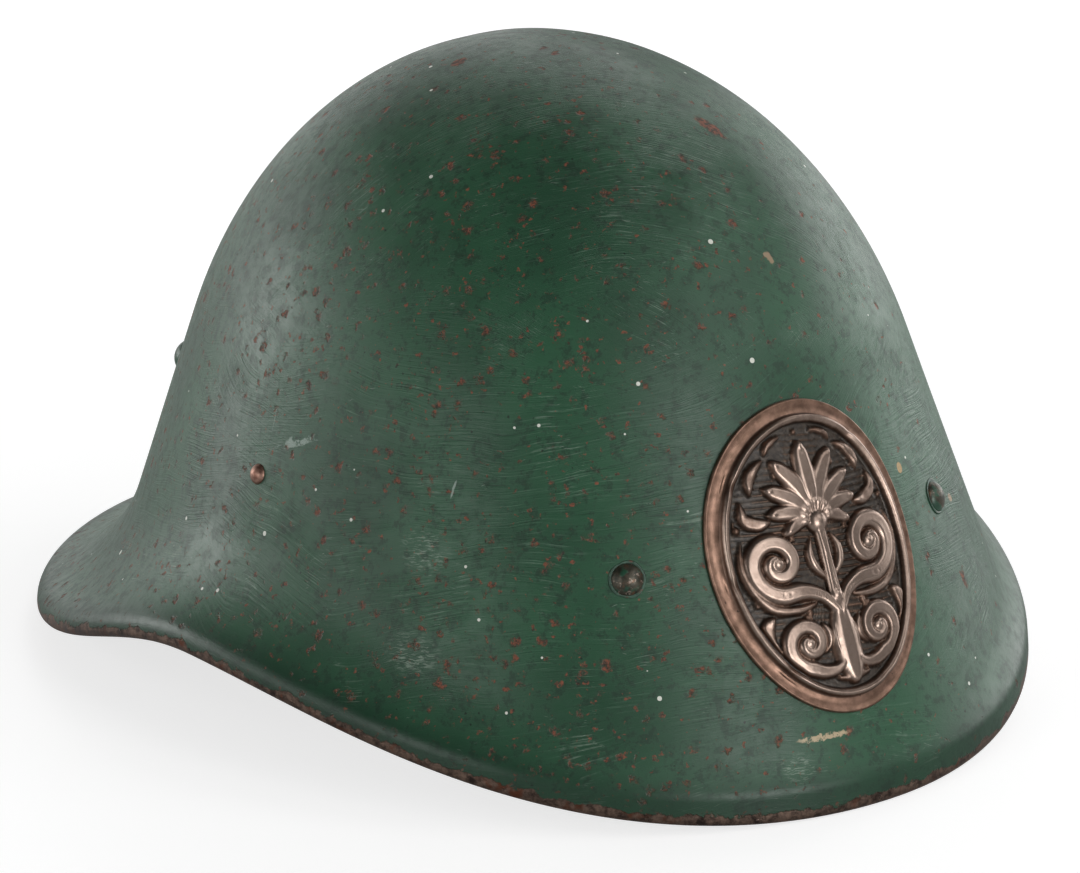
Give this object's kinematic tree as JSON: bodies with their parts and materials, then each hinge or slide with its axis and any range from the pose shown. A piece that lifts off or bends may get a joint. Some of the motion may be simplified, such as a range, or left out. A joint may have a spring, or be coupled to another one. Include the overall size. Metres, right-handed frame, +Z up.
{
  "type": "steel helmet",
  "caption": "Pressed steel helmet with arched rim, flared rear brim and rolled edge, an oval relief badge at the front, and a leather lining on a sprung hoop with strap rings.",
  "frame": {"origin": "on the table, under the middle of the helmet's length and width", "axes": "+Z up, the front looks along -Y, the wearer's left is +X"},
  "size_m": [0.239, 0.302, 0.173],
  "materials": {
    "green_paint": "worn dark bluish-green satin paint, worn to brown steel on the rolled edge",
    "badge_copper": "dark-patinated copper, rubbed bright on the raised parts",
    "pin_steel": "domed steel heads, worn and partly painted over",
    "spring_steel": "dull spring steel with a little rust",
    "liner_leather": "old brown leather, darker where worn",
    "lace_leather": "thin leather lace",
    "felt": "grey wool felt",
    "rivet_copper": "dull copper"
  },
  "bodies": {
    "helmet": {"shell": "green_paint", "badge_plate": "badge_copper", "badge_prong_upper": "badge_copper", "badge_prong_lower": "badge_copper", "liner_pin_front_left": "pin_steel", "liner_pin_front_right": "pin_steel", "liner_pin_rear_left": "pin_steel", "liner_pin_rear_right": "pin_steel", "liner_bridge_front_left": "spring_steel", "liner_bridge_front_right": "spring_steel", "liner_bridge_rear_left": "spring_steel", "liner_bridge_rear_right": "spring_steel", "liner_hoop": "spring_steel", "liner_leather": "liner_leather", "liner_lace": "lace_leather", "felt_pad_front": "felt", "felt_pad_rear": "felt", "felt_pad_left": "felt", "felt_pad_right": "felt", "strap_rivet_left": "rivet_copper", "strap_rivet_right": "rivet_copper", "strap_bracket_left": "spring_steel", "strap_bracket_right": "spring_steel", "strap_burr_left": "rivet_copper", "strap_burr_right": "rivet_copper"},
    "ring_left": {"strap_ring_left": "spring_steel"},
    "ring_right": {"strap_ring_right": "spring_steel"}
  },
  "joints": [
    {"name": "ring_left_swing", "type": "hinge", "parent": "helmet", "child": "ring_left", "pos_m": [0.09799, -0.011, 0.05409], "axis": [0, 1, 0], "range_deg": [-25, 40]},
    {"name": "ring_right_swing", "type": "hinge", "parent": "helmet", "child": "ring_right", "pos_m": [-0.09799, -0.011, 0.05409], "axis": [0, -1, 0], "range_deg": [-25, 40]}
  ]
}
